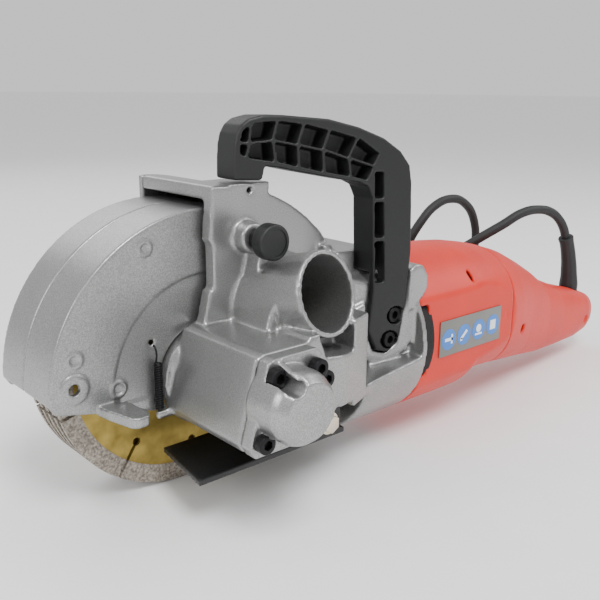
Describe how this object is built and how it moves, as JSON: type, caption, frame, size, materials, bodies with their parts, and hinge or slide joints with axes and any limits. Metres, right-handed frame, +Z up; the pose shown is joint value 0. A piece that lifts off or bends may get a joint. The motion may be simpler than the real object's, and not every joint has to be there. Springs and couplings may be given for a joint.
{
  "type": "wall chaser",
  "caption": "Electric wall chaser with a stack of diamond blades in a swinging guard, a bevel gear head, a motor body with a tail grip and a top D handle.",
  "frame": {"origin": "on the floor under the middle of the tool's box, cord left out", "axes": "+X towards the guard's front, +Y towards the bearing cover on the operator's left, +Z up"},
  "size_m": [0.4392, 0.2727, 0.1809],
  "materials": {
    "bright_steel": "machined",
    "blade_steel": "gold-tinted steel core with sintered rim segments",
    "black_steel": "blackened",
    "nickel_plate": "satin plated",
    "cast_paint": "silver hammer-fine paint on die-cast metal",
    "copper": "wound copper",
    "black_plastic": "fine-grained glass-filled nylon",
    "red_plastic": "satin moulded nylon",
    "label_grey": null,
    "cord_rubber": "matte"
  },
  "bodies": {
    "housing": {"gear_housing": "cast_paint", "guard_far_cover": "cast_paint", "far_cover_screw_1": "black_steel", "far_cover_screw_2": "black_steel", "far_cover_screw_3": "black_steel", "bearing_cover": "cast_paint", "cover_screw_1": "black_steel", "cover_screw_2": "black_steel", "cover_screw_3": "black_steel", "cover_screw_4": "black_steel", "housing_screw": "black_steel", "spindle_bearing_inner": "bright_steel", "spindle_bearing_outer": "bright_steel", "armature_front_bearing": "bright_steel", "armature_rear_bearing": "bright_steel", "stator_core": "bright_steel", "carbon_brush_1": "copper", "carbon_brush_2": "copper", "motor_housing": "red_plastic", "tail_handle_left": "red_plastic", "tail_handle_right": "red_plastic", "label_plate": "label_grey", "switch_block": "black_plastic", "d_handle": "black_plastic", "handle_screw_1": "black_steel", "handle_screw_2": "black_steel", "base_plate_bolt": "nickel_plate", "cord_boot": "cord_rubber", "cord_tube": "cord_rubber", "cord_coil": "cord_rubber", "plug": "cord_rubber", "guard_spring": "black_steel"},
    "blade_set": {"spindle": "bright_steel", "inner_flange": "bright_steel", "blade_1": "blade_steel", "blade_2": "blade_steel", "blade_3": "blade_steel", "blade_4": "blade_steel", "blade_5": "blade_steel", "blade_spacer_1": "bright_steel", "blade_spacer_2": "bright_steel", "blade_spacer_3": "bright_steel", "blade_spacer_4": "bright_steel", "clamp_nut": "black_steel", "bevel_gear": "bright_steel"},
    "armature": {"armature_shaft": "bright_steel", "armature_core": "copper", "commutator": "copper", "cooling_fan": "black_plastic", "bevel_pinion": "bright_steel"},
    "movable_guard": {"movable_guard_near": "cast_paint", "movable_guard_far": "cast_paint", "guard_screw_1": "bright_steel", "guard_screw_2": "bright_steel"},
    "lock": {"lock_pin": "bright_steel", "lock_knob": "black_plastic"},
    "base_plate": {"base_plate": "black_steel"},
    "switch": {"switch_slider": "black_plastic"}
  },
  "joints": [
    {"name": "spindle_spin", "type": "hinge", "parent": "housing", "child": "blade_set", "pos_m": [0.14487, -0.038, 0.06634], "axis": [0, 1, 0], "continuous": true},
    {"name": "armature_spin", "type": "hinge", "parent": "housing", "child": "armature", "pos_m": [0.04487, -0.012, 0.06634], "axis": [1, 0, 0], "continuous": true},
    {"name": "guard_swing", "type": "hinge", "parent": "housing", "child": "movable_guard", "pos_m": [0.13937, -0.038, 0.05934], "axis": [0, -1, 0], "range_deg": [0, 32], "stiffness_Nm_per_rad": 0.4, "springref_deg": -28.65, "deforming": ["guard_spring"]},
    {"name": "lock_pin_pull", "type": "slide", "parent": "housing", "child": "lock", "axis": [0, 1, 0], "range_m": [0, 0.005], "stiffness_N_per_m": 300, "springref_m": -0.004},
    {"name": "base_plate_slide", "type": "slide", "parent": "housing", "child": "base_plate", "axis": [0, 0, -1], "range_m": [0, 0.007]},
    {"name": "switch_slide", "type": "slide", "parent": "housing", "child": "switch", "axis": [1, 0, 0], "range_m": [0, 0.004]}
  ],
  "couplings": [
    {"joint": "armature_spin", "follows": "spindle_spin", "ratio": 2.5}
  ]
}
